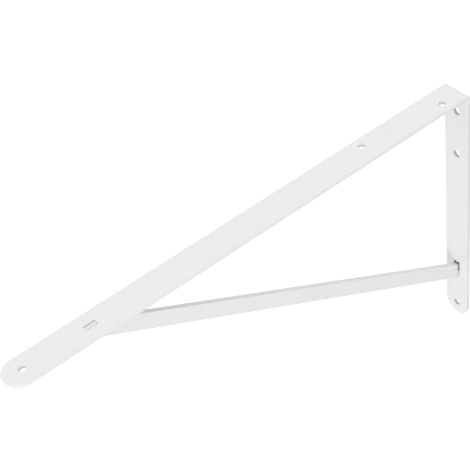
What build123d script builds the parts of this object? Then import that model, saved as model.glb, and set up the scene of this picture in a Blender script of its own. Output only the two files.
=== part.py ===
from build123d import *
import os
from math import atan2, cos, sin

# A shelf bracket: a flat steel bar folded into an arm and a leg, held square by a tenoned brace.
# X points out from the wall along the arm, Y runs across the bar and Z points up.
# The origin is on the wall plane, in the middle of the leg's height and of the bar's width.

# Driving dimensions of the angle bar, in millimetres
arm_length = 400.0  # wall plane to the arm's round tip
leg_height = 250.0  # shelf plane to the leg's round foot
bar_width = 25.0
bar_thick = 3.0
fold_inner = 1.5  # inside radius of the fold
bar_edge_round = 0.6

# Screw holes
wall_hole_dia = 6.5
wall_hole_drop = 20.5  # shelf plane to the top wall hole
wall_hole_gap = 42.5  # top wall hole to the next one
wall_hole_foot_gap = 12.5  # leg's foot to the bottom wall hole
shelf_hole_dia = 5.0
shelf_hole_reach = 22.0  # wall plane to the rear shelf hole
shelf_hole_gap = 74.0  # rear shelf hole to the next one, along the arm
shelf_hole_stagger = 3.9  # how far these two stand off the arm's centre line, one to each side
shelf_hole_tip_gap = 14.5  # arm's tip to the front shelf hole
rim_round = 0.3  # on the rims of the holes and slots

# Brace, cut from a narrower bar that stands on edge
brace_depth = 14.2
brace_thick = 4.0
brace_edge_round = 0.4
brace_tip_gap = 51.5  # arm's tip to the brace's lower edge
brace_foot_gap = 46.0  # leg's foot to the brace's lower edge

# Tenons on the brace's ends, and the slots that they stand in
tenon_thick = 3.0
arm_tenon_length = 8.8
leg_tenon_height = 6.5
leg_tenon_step = 0.3  # brace's upper corner to the leg tenon
tenon_sink = 0.5  # tenon's end to the bar's outer face
tenon_end_round = 0.25
arm_slot_side_room = 0.7  # arm tenon to its slot's side
arm_slot_end_room = 0.1  # arm tenon to its slot's end
leg_slot_side_room = 1.4  # leg tenon to its slot's side
leg_slot_base_room = 0.9  # leg tenon to its slot's base
leg_slot_top_room = 3.2  # leg tenon to its slot's top, for folding the bar onto the brace
slot_corner = 0.6

# Places worked out from the dimensions above
shelf_z = leg_height / 2
foot_z = -leg_height / 2
end_radius = bar_width / 2
fold_outer = fold_inner + bar_thick
arm_underside_z = shelf_z - bar_thick
arm_straight = arm_length - end_radius - fold_outer
leg_straight = leg_height - end_radius - fold_outer

shelf_hole_places = [
    (shelf_hole_reach, shelf_hole_stagger),
    (shelf_hole_reach + shelf_hole_gap, -shelf_hole_stagger),
    (arm_length - shelf_hole_tip_gap, 0),
]
wall_hole_places = [
    (0, shelf_z - wall_hole_drop),
    (0, shelf_z - wall_hole_drop - wall_hole_gap),
    (0, foot_z + wall_hole_foot_gap),
]

brace_reach = arm_length - brace_tip_gap
brace_low_z = foot_z + brace_foot_gap
brace_slope = atan2(arm_underside_z - brace_low_z, brace_reach - bar_thick)
arm_seat_start = brace_reach - brace_depth / sin(brace_slope)
leg_seat_top = brace_low_z + brace_depth / cos(brace_slope)

tenon_length = bar_thick - tenon_sink
arm_tenon_mid = (arm_seat_start + brace_reach) / 2
leg_tenon_top = leg_seat_top - leg_tenon_step
leg_tenon_base = leg_tenon_top - leg_tenon_height

arm_slot_length = arm_tenon_length + 2 * arm_slot_end_room
arm_slot_width = tenon_thick + 2 * arm_slot_side_room
leg_slot_base = leg_tenon_base - leg_slot_base_room
leg_slot_top = leg_tenon_top + leg_slot_top_room
leg_slot_width = tenon_thick + 2 * leg_slot_side_room

os.makedirs("parts", exist_ok=True)

# Angle bar: arm, leg and the fold between them, with soft rolled edges
with BuildPart() as angle_bar:
    with BuildSketch(Plane.XY.offset(arm_underside_z)):
        with Locations((fold_outer + arm_straight / 2, 0)):
            Rectangle(arm_straight, bar_width)
        with Locations((arm_length - end_radius, 0)):
            Circle(end_radius)
    extrude(amount=bar_thick)

    with BuildSketch(Plane.YZ):
        with Locations((0, shelf_z - fold_outer - leg_straight / 2)):
            Rectangle(bar_width, leg_straight)
        with Locations((0, foot_z + end_radius)):
            Circle(end_radius)
    extrude(amount=bar_thick)

    with BuildSketch(Plane.XZ):
        with BuildLine():
            outside = CenterArc((fold_outer, shelf_z - fold_outer), fold_outer, 90, 90)
            inside = CenterArc((fold_outer, shelf_z - fold_outer), fold_inner, 90, 90)
            Line(outside @ 0, inside @ 0)
            Line(outside @ 1, inside @ 1)
        make_face()
    extrude(amount=bar_width / 2, both=True)

    arcs = angle_bar.edges().filter_by(GeomType.CIRCLE)
    straights = angle_bar.edges().filter_by(GeomType.LINE).filter_by(Axis.Y, reverse=True)
    seams = straights.filter_by(lambda edge: edge.length < 2 * bar_thick)
    fillet(arcs + (straights - seams), radius=bar_edge_round)

    with BuildSketch(Plane.XY.offset(shelf_z)):
        with Locations(*shelf_hole_places):
            Circle(shelf_hole_dia / 2)
        with Locations((arm_tenon_mid, 0)):
            RectangleRounded(arm_slot_length, arm_slot_width, slot_corner)
    extrude(amount=-bar_thick, mode=Mode.SUBTRACT)
    fillet(angle_bar.edges(Select.LAST).filter_by(Axis.Z, reverse=True), radius=rim_round)

    with BuildSketch(Plane.YZ):
        with Locations(*wall_hole_places):
            Circle(wall_hole_dia / 2)
        with Locations((0, (leg_slot_base + leg_slot_top) / 2)):
            RectangleRounded(leg_slot_width, leg_slot_top - leg_slot_base, slot_corner)
    extrude(amount=bar_thick, mode=Mode.SUBTRACT)
    fillet(angle_bar.edges(Select.LAST).filter_by(Axis.X, reverse=True), radius=rim_round)

angle_bar.part.label = "angle_bar"
export_step(angle_bar.part, "parts/angle_bar.step")

# Brace: seats flat on the arm's underside and the leg's front, with a thinner tenon in each slot
with BuildPart() as brace:
    with BuildSketch(Plane.XZ):
        with BuildLine():
            Polyline(
                (brace_reach, arm_underside_z),
                (arm_seat_start, arm_underside_z),
                (bar_thick, leg_seat_top),
                (bar_thick, brace_low_z),
                close=True,
            )
        make_face()
    extrude(amount=brace_thick / 2, both=True)
    along_brace = Axis((0, 0, 0), (cos(brace_slope), 0, sin(brace_slope)))
    fillet(brace.edges().filter_by(along_brace), radius=brace_edge_round)

    with BuildSketch(Plane.XZ):
        with Locations((arm_tenon_mid, arm_underside_z)):
            Rectangle(arm_tenon_length, tenon_length, align=(Align.CENTER, Align.MIN))
        with Locations((bar_thick, leg_tenon_top)):
            Rectangle(tenon_length, leg_tenon_height, align=(Align.MAX, Align.MAX))
    extrude(amount=tenon_thick / 2, both=True)
    arm_tenon_face = brace.faces().sort_by(Axis.Z)[-1]
    leg_tenon_face = brace.faces().sort_by(Axis.X)[0]
    fillet(arm_tenon_face.edges() + leg_tenon_face.edges(), radius=tenon_end_round)

brace.part.label = "brace"
export_step(brace.part, "parts/brace.step")
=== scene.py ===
"""A white shelf bracket: a folded flat bar and its tenoned brace, their finish, studio and camera."""

import math

import bmesh
import bpy
from bpy.props import FloatProperty, FloatVectorProperty, PointerProperty
from mathutils import Matrix, Vector


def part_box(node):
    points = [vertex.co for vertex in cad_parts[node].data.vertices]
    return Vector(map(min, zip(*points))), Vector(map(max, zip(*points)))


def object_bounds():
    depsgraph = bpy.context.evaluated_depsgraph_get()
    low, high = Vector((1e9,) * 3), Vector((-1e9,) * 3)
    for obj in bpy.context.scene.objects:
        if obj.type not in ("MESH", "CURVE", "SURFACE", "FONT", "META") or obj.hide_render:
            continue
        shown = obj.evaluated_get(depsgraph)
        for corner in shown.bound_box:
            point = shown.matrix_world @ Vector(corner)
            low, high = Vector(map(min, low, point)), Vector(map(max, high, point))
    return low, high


bl_info = {
    "name": "Braced Shelf Bracket",
    "version": (1, 0, 0),
    "blender": (4, 5, 0),
    "location": "View3D > Sidebar > Bracket",
    "description": "Finishes a braced flat-bar shelf bracket and sets up its studio and camera",
    "category": "Object",
}

MM = 0.001

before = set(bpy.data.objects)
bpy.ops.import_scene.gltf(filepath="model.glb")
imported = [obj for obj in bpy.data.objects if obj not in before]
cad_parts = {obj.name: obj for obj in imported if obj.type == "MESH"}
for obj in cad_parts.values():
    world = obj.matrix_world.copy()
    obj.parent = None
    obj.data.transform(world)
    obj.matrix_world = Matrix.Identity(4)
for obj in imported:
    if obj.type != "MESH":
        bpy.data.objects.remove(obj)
CAD_LOW, CAD_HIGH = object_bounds()
BAR_LOW, BAR_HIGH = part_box("angle_bar")
BRACE_LOW, BRACE_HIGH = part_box("brace")

# Sizes and places that the painted shade goes by
BAR_WIDTH = BAR_HIGH.y - BAR_LOW.y
BAR_THICK = 3 * MM
BAR_EDGE_ROUND = 0.6 * MM
LEG_MIDDLE_X = BAR_LOW.x + BAR_THICK / 2
LEG_FRONT_X = BAR_LOW.x + BAR_THICK
LEG_TOP_Z = BAR_HIGH.z - 7 * MM  # a little below the fold
BRACE_THICK = BRACE_HIGH.y - BRACE_LOW.y
BRACE_RISE = BAR_HIGH.z - BAR_THICK - BRACE_LOW.z
BRACE_RUN = BRACE_HIGH.x - LEG_FRONT_X
BRACE_SLOPE = math.atan2(BRACE_RISE, BRACE_RUN)
LEG_SLOT_Z = BRACE_LOW.z + 14 * MM  # middle of the leg's slot
LEG_SLOT_HEIGHT = 14 * MM  # the slot and a little room above and below it
ARM_JOINT_X = BRACE_HIGH.x - 14.1 * MM  # middle of the brace's seat on the arm
ARM_JOINT_LENGTH = 40 * MM  # the seat and a little room at its ends
ROUNDING = 0.01 * MM  # slack that keeps the leg's front face with the leg
HOLE_REACH = BAR_WIDTH / 3  # holes and slots lie no further off the bar's centre line
FACE_SKIN = 0.1 * MM  # depth at which a face gives way to the wall of a hole or to a side
WALL_DEPTH = 0.5 * MM  # depth at which the painted shade on the wall of a hole is at its darkest
RIM_PLACE = 0.3  # share of a piece's width beyond which its rims lie

# How far a surface turns sideways, forward or along the brace's edges, from 0 to 1
RIM_START = 0.1
RIM_FULL = 0.4
RIM_FADE = 0.9
RIM_END = 0.99
WALL_LIMIT = 0.8
EDGE_START = 0.8
EDGE_FULL = 0.98

# How open a surface is to its surroundings, from 0 to 1, which sets the painted shade in recesses
DEEP_IN_RECESS = 0.1
OUT_OF_RECESS = 0.7
RECESS_SAMPLES = 8

# Baked polyester, and how far smaller ripples break up its orange peel
POLYESTER_IOR = 1.5
PEEL_DETAIL = 1.5
PEEL_BREAKUP = 0.4

# The colour inputs of a Mix node share their names with its other inputs, so they go by number
MIX_FIRST = 6
MIX_SECOND = 7


def linear(hex_colour):
    """Turns an sRGB hex value such as "EDEDED" into linear red, green and blue."""
    channels = [int(hex_colour[i:i + 2], 16) / 255 for i in (0, 2, 4)]
    return tuple(c / 12.92 if c <= 0.04045 else ((c + 0.055) / 1.055) ** 2.4 for c in channels)


# Settings

def colour_setting(name, description, hex_colour):
    return FloatVectorProperty(
        name=name, description=description, subtype="COLOR", size=3, min=0, max=1,
        default=linear(hex_colour))


def place_setting(name, description, default):
    return FloatVectorProperty(
        name=name, description=description, subtype="TRANSLATION", size=3, default=default)


def length_setting(name, description, default, smallest=0.0):
    return FloatProperty(
        name=name, description=description, unit="LENGTH", min=smallest, default=default)


def angle_setting(name, description, degrees):
    return FloatProperty(
        name=name, description=description, subtype="ANGLE", default=math.radians(degrees))


def share_setting(name, description, default):
    return FloatProperty(
        name=name, description=description, subtype="FACTOR", min=0, max=1, default=default)


def strength_setting(name, description, default, unit="NONE"):
    return FloatProperty(name=name, description=description, unit=unit, min=0, default=default)


class CoatSettings(bpy.types.PropertyGroup):
    colour: colour_setting("Colour", "Colour of the baked coat", "EDEDED")
    thin_colour: colour_setting("Thin Colour", "Colour where the coat lies a little thinner", "EAEAEA")
    # Painted shade: this grey darkens the coat in recesses, holes, slots, rims and narrow faces; it is also
    # the nick's bare steel
    bare_steel_and_shade_colour: colour_setting(
        "Bare Colour", "Colour of the steel that shows where the coat hardly reaches", "6A6A6A")
    # Painted shade in recesses: the coat's colour darkens by how enclosed a spot is
    recess_depth: length_setting(
        "Recess Depth", "Reach of the holes, slots and joints in which the coat thins out", 6 * MM, 0.1 * MM)
    recess_shade: share_setting(
        "Recess Bareness", "How bare the steel is in the deepest corners", 0.62)
    # Painted shade on the walls of the leg's holes and slot
    hole_wall_shade: share_setting(
        "Hole Bareness", "How bare the steel is on the walls of the leg's holes", 0.42)
    slot_wall_shade: share_setting(
        "Slot Bareness", "How bare the steel is on the walls of the leg's slot", 1.0)
    # Painted shade on the leg's narrow sides
    leg_side_shade: share_setting(
        "Side Bareness", "How bare the steel is on the leg's narrow sides", 0.125)
    # Painted shade on the rounded rims of the arm and the brace
    rim_shade: share_setting(
        "Rim Bareness", "How bare the steel is on the rounded rims of the arm and the brace", 0.08)
    # Painted shade on the brace's narrow upper and lower faces
    brace_edge_shade: share_setting(
        "Edge Bareness", "How bare the steel is on the brace's two narrow faces", 0.1)
    roughness: share_setting("Roughness", "Satin sheen of the baked coat", 0.42)
    roughness_drift: share_setting(
        "Roughness Drift", "How far the sheen drifts with the coat's thickness", 0.05)
    drift_size: length_setting(
        "Drift Size", "Distance over which the coat's thickness drifts", 40 * MM, 1 * MM)
    peel_size: length_setting(
        "Orange Peel Size", "Width of one ripple of the orange peel", 2.2 * MM, 0.2 * MM)
    peel_height: length_setting(
        "Orange Peel Height", "Height of one ripple of the orange peel", 0.012 * MM)


class NickSettings(bpy.types.PropertyGroup):
    middle: place_setting(
        "Middle", "Middle of the nick on the brace's near side", (147.5 * MM, 2 * MM, 8 * MM))
    slant: angle_setting("Slant", "Slant of the nick, down from the arm's direction", 56)
    length: length_setting("Length", "Length of the nick", 5 * MM, 0.1 * MM)
    width: length_setting("Width", "Width of the nick", 1.8 * MM, 0.1 * MM)
    depth: length_setting("Depth", "Depth of the nick", 0.15 * MM)
    bare_steel_and_shade: share_setting("Bareness", "How bare the steel is in the nick", 0.25)
    rim: share_setting("Rim", "Share of the nick's reach over which the bare steel sets in", 0.4)


class StageSettings(bpy.types.PropertyGroup):
    floor_colour: colour_setting("Floor Colour", "Colour of the pale studio floor", "DEDEDE")
    floor_lift: strength_setting("Floor Lift", "Glow that lifts the floor to white where it is seen", 0.4)
    floor_drop: length_setting("Floor Drop", "How far the floor lies below the bracket's foot", 0.25)
    floor_size: length_setting("Floor Size", "Side of the square floor", 8, 1)
    ceiling_light: strength_setting("Ceiling Light", "Strength of the room's light from above", 1.27)
    wall_light: strength_setting("Wall Light", "Strength of the room's light from the sides", 0.45)
    ceiling_side: FloatVectorProperty(
        name="Ceiling Side", description="Direction of the brightest part of the ceiling",
        subtype="DIRECTION", size=3, default=(0.12, 0.1, 0.98))
    softbox_target: place_setting(
        "Softbox Target", "Point that the softbox faces", (3 * MM, -5 * MM, -62 * MM))
    softbox_azimuth: angle_setting(
        "Softbox Azimuth", "Turn of the softbox from the arm's direction towards the near side", 30)
    softbox_elevation: angle_setting("Softbox Elevation", "Height of the softbox above the horizon", 5)
    softbox_distance: length_setting("Softbox Distance", "Softbox to its target", 1.5, 0.1)
    softbox_size: length_setting("Softbox Size", "Side of the square softbox", 0.58, 0.01)
    softbox_power: strength_setting("Softbox Power", "Power of the softbox", 4.6, "POWER")


class CameraSettings(bpy.types.PropertyGroup):
    target: place_setting("Target", "Point in the middle of the picture", (213 * MM, -5.94 * MM, 116.07 * MM))
    azimuth: angle_setting("Azimuth", "Turn round the bracket, from a view along its width", 150.08)
    elevation: angle_setting("Elevation", "Height of the camera above the horizon", 43.143)
    roll: angle_setting("Roll", "Turn of the camera about its line of sight", -11.297)
    distance: length_setting("Distance", "Camera to target", 741.6 * MM, 0.1)
    lens: FloatProperty(name="Lens", description="Focal length", unit="CAMERA", min=1, default=82.16)
    nearest: length_setting("Nearest", "Distance from which the camera sees", 10 * MM, 1 * MM)


class BracketSettings(bpy.types.PropertyGroup):
    coat: PointerProperty(type=CoatSettings)
    nick: PointerProperty(type=NickSettings)
    stage: PointerProperty(type=StageSettings)
    camera: PointerProperty(type=CameraSettings)


# Nodes

def new_tree(owner):
    """Gives a material or the world an empty node tree."""
    owner.use_nodes = True
    owner.node_tree.nodes.clear()
    return owner.node_tree


def add_node(tree, kind, inputs=None, **settings):
    """Adds a node, sets it up, and links or sets its inputs.

    A node that is given as an input is linked by its first output in use.
    """
    node = tree.nodes.new(kind)
    for name, value in settings.items():
        setattr(node, name, value)
    for socket, value in (inputs or {}).items():
        if isinstance(value, bpy.types.Node):
            value = next(output for output in value.outputs if output.enabled)
        if isinstance(value, bpy.types.NodeSocket):
            tree.links.new(value, node.inputs[socket])
        else:
            node.inputs[socket].default_value = value
    return node


# Where shade is painted on the coat, and where the brace is nicked

def where_all(tree, first, *others):
    """Holds as far as all of several masks hold: their product."""
    for other in others:
        first = add_node(tree, "ShaderNodeMath", {0: first, 1: other}, operation="MULTIPLY")
    return first


def where_any(tree, first, *others):
    """Holds where any of several masks holds: their sum, up to one."""
    for other in others:
        first = add_node(tree, "ShaderNodeMath", {0: first, 1: other}, operation="ADD", use_clamp=True)
    return first


def read_surface(tree):
    """Where a point of a surface lies and which way it faces, in the bracket's own axes."""
    coordinates = add_node(tree, "ShaderNodeTexCoord").outputs
    place = add_node(tree, "ShaderNodeSeparateXYZ", {"Vector": coordinates["Object"]}).outputs
    normal = add_node(tree, "ShaderNodeSeparateXYZ", {"Vector": coordinates["Normal"]}).outputs
    return {
        "place": coordinates["Object"],
        "normal": coordinates["Normal"],
        "x": place["X"],
        "z": place["Z"],
        "off_centre": add_node(tree, "ShaderNodeMath", {0: place["Y"]}, operation="ABSOLUTE"),
        "forward": add_node(tree, "ShaderNodeMath", {0: normal["X"]}, operation="ABSOLUTE"),
        "sideways": add_node(tree, "ShaderNodeMath", {0: normal["Y"]}, operation="ABSOLUTE"),
    }


def shade_in_recesses(tree, surface, coat):
    """Painted shade in corners, holes and slots, darker the more enclosed they are, apart from the arm's
    joint.
    """
    openness = add_node(
        tree, "ShaderNodeAmbientOcclusion", {"Distance": coat.recess_depth}, samples=RECESS_SAMPLES)
    painted_recess_shade = add_node(tree, "ShaderNodeMapRange", {
        "Value": openness.outputs["AO"], "From Min": DEEP_IN_RECESS, "From Max": OUT_OF_RECESS,
        "To Min": coat.recess_shade, "To Max": 0.0})
    in_arm_joint = add_node(tree, "ShaderNodeMath", {
        0: surface["x"], 1: ARM_JOINT_X, 2: ARM_JOINT_LENGTH / 2}, operation="COMPARE")
    elsewhere = add_node(tree, "ShaderNodeMath", {0: 1.0, 1: in_arm_joint}, operation="SUBTRACT")
    return where_all(tree, painted_recess_shade, elsewhere)


def shade_in_leg_holes(tree, surface, coat):
    """Painted shade on the walls of the leg's holes and, much darker, of its slot."""
    from_middle = add_node(
        tree, "ShaderNodeMath", {0: surface["x"], 1: LEG_MIDDLE_X}, operation="SUBTRACT")
    off_middle = add_node(tree, "ShaderNodeMath", {0: from_middle}, operation="ABSOLUTE")
    inside = add_node(tree, "ShaderNodeMapRange", {
        "Value": off_middle,
        "From Min": BAR_THICK / 2 - FACE_SKIN, "From Max": BAR_THICK / 2 - WALL_DEPTH})
    among_holes = add_node(
        tree, "ShaderNodeMath", {0: surface["off_centre"], 1: HOLE_REACH}, operation="LESS_THAN")
    on_wall = add_node(
        tree, "ShaderNodeMath", {0: surface["forward"], 1: WALL_LIMIT}, operation="LESS_THAN")
    in_slot = add_node(tree, "ShaderNodeMath", {
        0: surface["z"], 1: LEG_SLOT_Z, 2: LEG_SLOT_HEIGHT / 2}, operation="COMPARE")
    bare_steel_and_shade = add_node(tree, "ShaderNodeMapRange", {
        "Value": in_slot, "To Min": coat.hole_wall_shade, "To Max": coat.slot_wall_shade})
    return where_all(tree, inside, among_holes, on_wall, bare_steel_and_shade)


def shade_on_leg(tree, surface, coat):
    """Painted shade on the leg's narrow sides and in its holes and slot."""
    near_wall = add_node(
        tree, "ShaderNodeMath", {0: surface["x"], 1: LEG_FRONT_X + ROUNDING}, operation="LESS_THAN")
    below_fold = add_node(
        tree, "ShaderNodeMath", {0: surface["z"], 1: LEG_TOP_Z}, operation="LESS_THAN")
    on_side = add_node(tree, "ShaderNodeMapRange", {
        "Value": surface["off_centre"],
        "From Min": BAR_WIDTH / 2 - BAR_EDGE_ROUND, "From Max": BAR_WIDTH / 2 - FACE_SKIN,
        "To Min": 0.0, "To Max": coat.leg_side_shade})
    bare_steel_and_shade = where_any(tree, on_side, shade_in_leg_holes(tree, surface, coat))
    return where_all(tree, near_wall, below_fold, bare_steel_and_shade)


def shade_on_rims(tree, surface, coat, width):
    """Painted shade on the rounded rims along the sides of the arm and the brace."""
    off_face = add_node(tree, "ShaderNodeMapRange", {
        "Value": surface["sideways"], "From Min": RIM_START, "From Max": RIM_FULL,
        "To Min": 0.0, "To Max": coat.rim_shade})
    off_side = add_node(tree, "ShaderNodeMapRange", {
        "Value": surface["sideways"], "From Min": RIM_FADE, "From Max": RIM_END,
        "To Min": 1.0, "To Max": 0.0})
    along_side = add_node(
        tree, "ShaderNodeMath", {0: surface["off_centre"], 1: RIM_PLACE * width}, operation="GREATER_THAN")
    off_leg = add_node(
        tree, "ShaderNodeMath", {0: surface["x"], 1: LEG_FRONT_X + ROUNDING}, operation="GREATER_THAN")
    return where_all(tree, off_face, off_side, along_side, off_leg)


def shade_on_brace_edges(tree, surface, coat):
    """Painted shade on the brace's narrow upper and lower faces."""
    upward = (-math.sin(BRACE_SLOPE), 0, math.cos(BRACE_SLOPE))
    facing = add_node(
        tree, "ShaderNodeVectorMath", {0: surface["normal"], 1: upward}, operation="DOT_PRODUCT")
    either_way = add_node(tree, "ShaderNodeMath", {0: facing}, operation="ABSOLUTE")
    return add_node(tree, "ShaderNodeMapRange", {
        "Value": either_way, "From Min": EDGE_START, "From Max": EDGE_FULL,
        "To Min": 0.0, "To Max": coat.brace_edge_shade})


def nick_hollow(tree, surface, nick):
    """Is one in the middle of the nick and falls to zero at its rim."""
    spot = add_node(tree, "ShaderNodeMapping", {
        "Vector": surface["place"], "Location": nick.middle, "Rotation": (0, nick.slant, 0),
        "Scale": (nick.length / 2, nick.width / 2, nick.width / 2)}, vector_type="TEXTURE")
    ball = add_node(tree, "ShaderNodeTexGradient", {"Vector": spot}, gradient_type="SPHERICAL")
    return ball.outputs["Fac"]


# Materials

def orange_peel(tree, surface, coat):
    """The faint ripples of a baked coat, a little deeper than real, so that a close view shows them."""
    peel = add_node(tree, "ShaderNodeTexNoise", {
        "Vector": surface["place"], "Scale": 1 / coat.peel_size,
        "Detail": PEEL_DETAIL, "Roughness": PEEL_BREAKUP})
    return add_node(tree, "ShaderNodeBump", {"Height": peel, "Distance": coat.peel_height})


def white_powder_coat(tree, surface, coat, bare_steel_and_shade, relief):
    """Polyester powder, sprayed on steel and baked.

    It is satin and even, with a faint orange peel and a slight drift in thickness. Shade is painted into its
    colour as grey on rims and narrow faces and in corners, slots and holes, and the same grey marks bare
    steel where a nick chips the coat.
    """
    drift = add_node(tree, "ShaderNodeTexNoise", {
        "Vector": surface["place"], "Scale": 1 / coat.drift_size})
    sprayed = add_node(tree, "ShaderNodeMix", {
        "Factor": drift, MIX_FIRST: (*coat.thin_colour, 1), MIX_SECOND: (*coat.colour, 1)},
        data_type="RGBA")
    colour = add_node(tree, "ShaderNodeMix", {
        "Factor": bare_steel_and_shade, MIX_FIRST: sprayed, MIX_SECOND: (*coat.bare_steel_and_shade_colour, 1)},
        data_type="RGBA")
    gloss = add_node(tree, "ShaderNodeMapRange", {
        "Value": drift, "To Min": coat.roughness + coat.roughness_drift,
        "To Max": coat.roughness - coat.roughness_drift})
    shader = add_node(tree, "ShaderNodeBsdfPrincipled", {
        "Base Color": colour, "Roughness": gloss, "IOR": POLYESTER_IOR, "Normal": relief})
    add_node(tree, "ShaderNodeOutputMaterial", {"Surface": shader})


def angle_bar_coat(coat):
    """White powder coat on the folded bar."""
    material = bpy.data.materials.new("White powder coat")
    tree = new_tree(material)
    surface = read_surface(tree)
    # Painted shade in recesses, on the leg's sides, holes and slot, and on the arm's rims
    bare_steel_and_shade = where_any(
        tree, shade_in_recesses(tree, surface, coat), shade_on_leg(tree, surface, coat),
        shade_on_rims(tree, surface, coat, BAR_WIDTH))
    white_powder_coat(tree, surface, coat, bare_steel_and_shade, orange_peel(tree, surface, coat))
    return material


def brace_coat(coat, nick):
    """White powder coat on the brace, chipped by a nick in its near side."""
    material = bpy.data.materials.new("Nicked white powder coat")
    tree = new_tree(material)
    surface = read_surface(tree)
    # Painted shade in recesses, in the leg's slot, on the rims and on the brace's narrow faces; the nick
    # below is a real chip
    painted_shade = where_any(
        tree, shade_in_recesses(tree, surface, coat), shade_on_leg(tree, surface, coat),
        shade_on_rims(tree, surface, coat, BRACE_THICK), shade_on_brace_edges(tree, surface, coat))
    hollow = nick_hollow(tree, surface, nick)
    chipped = add_node(tree, "ShaderNodeMapRange", {
        "Value": hollow, "From Min": 0.0, "From Max": nick.rim, "To Min": 0.0, "To Max": nick.bare_steel_and_shade},
        interpolation_type="SMOOTHSTEP")
    bare_steel_and_shade = add_node(tree, "ShaderNodeMath", {0: painted_shade, 1: chipped}, operation="MAXIMUM")
    relief = add_node(tree, "ShaderNodeBump", {
        "Height": hollow, "Distance": nick.depth, "Normal": orange_peel(tree, surface, coat)}, invert=True)
    white_powder_coat(tree, surface, coat, bare_steel_and_shade, relief)
    return material


def seen_directly(tree):
    """Is one where the camera, a reflection or a clear thing looks at this surface."""
    path = add_node(tree, "ShaderNodeLightPath").outputs
    return where_any(tree, path["Is Camera Ray"], path["Is Glossy Ray"], path["Is Transmission Ray"])


def floor_paint(stage):
    """Matt studio paint, which looks white and is clear from beneath."""
    material = bpy.data.materials.new("Matt floor paint")
    tree = new_tree(material)
    paint = add_node(tree, "ShaderNodeBsdfDiffuse", {"Color": (*stage.floor_colour, 1)})
    lift = add_node(tree, "ShaderNodeMapRange", {"Value": seen_directly(tree), "To Max": stage.floor_lift})
    glow = add_node(tree, "ShaderNodeEmission", {"Strength": lift})
    lit = add_node(tree, "ShaderNodeAddShader", {0: paint, 1: glow})
    clear = add_node(tree, "ShaderNodeBsdfTransparent")
    beneath = add_node(tree, "ShaderNodeNewGeometry").outputs["Backfacing"]
    sides = add_node(tree, "ShaderNodeMixShader", {0: beneath, 1: lit, 2: clear})
    add_node(tree, "ShaderNodeOutputMaterial", {"Surface": sides})
    return material


# Studio

def away_from(azimuth, elevation):
    """The direction to a thing at this turn from the arm's direction and this height above the horizon."""
    level = math.cos(elevation)
    return Vector((math.cos(azimuth) * level, math.sin(azimuth) * level, math.sin(elevation)))


def light_room(stage):
    """Soft light from a bright ceiling, fading towards the sides, in front of a white background."""
    world = bpy.data.worlds.new("Studio")
    bpy.context.scene.world = world
    tree = new_tree(world)
    direction = add_node(tree, "ShaderNodeTexCoord").outputs["Generated"]
    ceiling = Vector(stage.ceiling_side).normalized()
    height = add_node(tree, "ShaderNodeVectorMath", {0: direction, 1: ceiling}, operation="DOT_PRODUCT")
    room = add_node(tree, "ShaderNodeMapRange", {
        "Value": height, "To Min": stage.wall_light, "To Max": stage.ceiling_light})
    strength = add_node(tree, "ShaderNodeMapRange", {
        "Value": seen_directly(tree), "To Min": room, "To Max": 1.0})
    light = add_node(tree, "ShaderNodeBackground", {"Color": (1, 1, 1, 1), "Strength": strength})
    add_node(tree, "ShaderNodeOutputWorld", {"Surface": light})


def stand_softbox(stage):
    """A square lamp in front of the bracket, low and on the near side."""
    lamp = bpy.data.lights.new("softbox", "AREA")
    lamp.size = stage.softbox_size
    lamp.energy = stage.softbox_power
    softbox = bpy.data.objects.new("softbox", lamp)
    away = away_from(stage.softbox_azimuth, stage.softbox_elevation)
    softbox.location = Vector(stage.softbox_target) + away * stage.softbox_distance
    softbox.rotation_euler = away.to_track_quat("Z", "Y").to_euler()
    bpy.context.scene.collection.objects.link(softbox)


def lay_floor(stage):
    """A square floor under the bracket."""
    shape = bmesh.new()
    middle = (CAD_LOW + CAD_HIGH) / 2
    place = Matrix.Translation((middle.x, middle.y, CAD_LOW.z - stage.floor_drop))
    bmesh.ops.create_grid(shape, x_segments=1, y_segments=1, size=stage.floor_size / 2, matrix=place)
    mesh = bpy.data.meshes.new("floor")
    shape.to_mesh(mesh)
    shape.free()
    mesh.materials.append(floor_paint(stage))
    floor = bpy.data.objects.new("floor", mesh)
    bpy.context.scene.collection.objects.link(floor)


def aim_camera(settings):
    """A camera that looks down on the bracket, rolled a little about its line of sight."""
    lens = bpy.data.cameras.new("camera")
    lens.lens = settings.lens
    lens.clip_start = settings.nearest
    camera = bpy.data.objects.new("camera", lens)
    along_width = math.radians(-90)
    back = away_from(settings.azimuth + along_width, settings.elevation)
    turn = back.to_track_quat("Z", "Y") @ Matrix.Rotation(settings.roll, 3, "Z").to_quaternion()
    camera.matrix_world = Matrix.LocRotScale(Vector(settings.target) + back * settings.distance, turn, None)
    bpy.context.scene.collection.objects.link(camera)
    bpy.context.scene.camera = camera


# Operators

def coat_piece(name, material):
    """Gives a piece of the frame its one material."""
    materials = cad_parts[name].data.materials
    materials.clear()
    materials.append(material)


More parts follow.
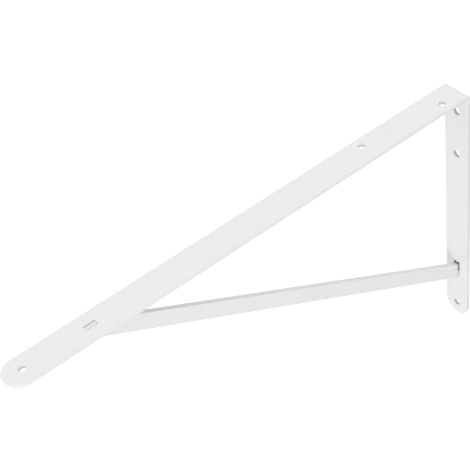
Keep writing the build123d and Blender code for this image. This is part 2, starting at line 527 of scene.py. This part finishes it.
class BRACKET_OT_angle_bar(bpy.types.Operator):
    """Coat the folded bar with its arm and leg"""
    bl_idname = "bracket.angle_bar"
    bl_label = "Finish Angle Bar"

    def execute(self, context):
        settings = context.scene.bracket
        coat_piece("angle_bar", angle_bar_coat(settings.coat))
        return {"FINISHED"}


class BRACKET_OT_brace(bpy.types.Operator):
    """Coat the brace"""
    bl_idname = "bracket.brace"
    bl_label = "Finish Brace"

    def execute(self, context):
        settings = context.scene.bracket
        coat_piece("brace", brace_coat(settings.coat, settings.nick))
        return {"FINISHED"}


class BRACKET_OT_stage(bpy.types.Operator):
    """Lay the floor, light the room and aim the camera"""
    bl_idname = "bracket.stage"
    bl_label = "Set Up Studio"

    def execute(self, context):
        settings = context.scene.bracket
        context.scene.view_settings.view_transform = "Standard"
        lay_floor(settings.stage)
        light_room(settings.stage)
        stand_softbox(settings.stage)
        aim_camera(settings.camera)
        return {"FINISHED"}


class BRACKET_PT_sidebar(bpy.types.Panel):
    """Lists the bracket's pieces and settings"""
    bl_idname = "BRACKET_PT_sidebar"
    bl_label = "Braced Shelf Bracket"
    bl_space_type = "VIEW_3D"
    bl_region_type = "UI"
    bl_category = "Bracket"

    def draw(self, context):
        settings = context.scene.bracket
        for operator in OPERATORS:
            self.layout.operator(operator.bl_idname)
        for group in (settings.coat, settings.nick, settings.stage, settings.camera):
            box = self.layout.box()
            for name in group.__annotations__:
                box.prop(group, name)


SETTINGS = (CoatSettings, NickSettings, StageSettings, CameraSettings, BracketSettings)
OPERATORS = (BRACKET_OT_angle_bar, BRACKET_OT_brace, BRACKET_OT_stage)
CLASSES = (*SETTINGS, *OPERATORS, BRACKET_PT_sidebar)


def register():
    for cls in CLASSES:
        bpy.utils.register_class(cls)
    bpy.types.Scene.bracket = PointerProperty(type=BracketSettings)


def unregister():
    del bpy.types.Scene.bracket
    for cls in reversed(CLASSES):
        bpy.utils.unregister_class(cls)


def main():
    register()
    bpy.ops.bracket.angle_bar()
    bpy.ops.bracket.brace()
    bpy.ops.bracket.stage()


if __name__ == "__main__":
    main()
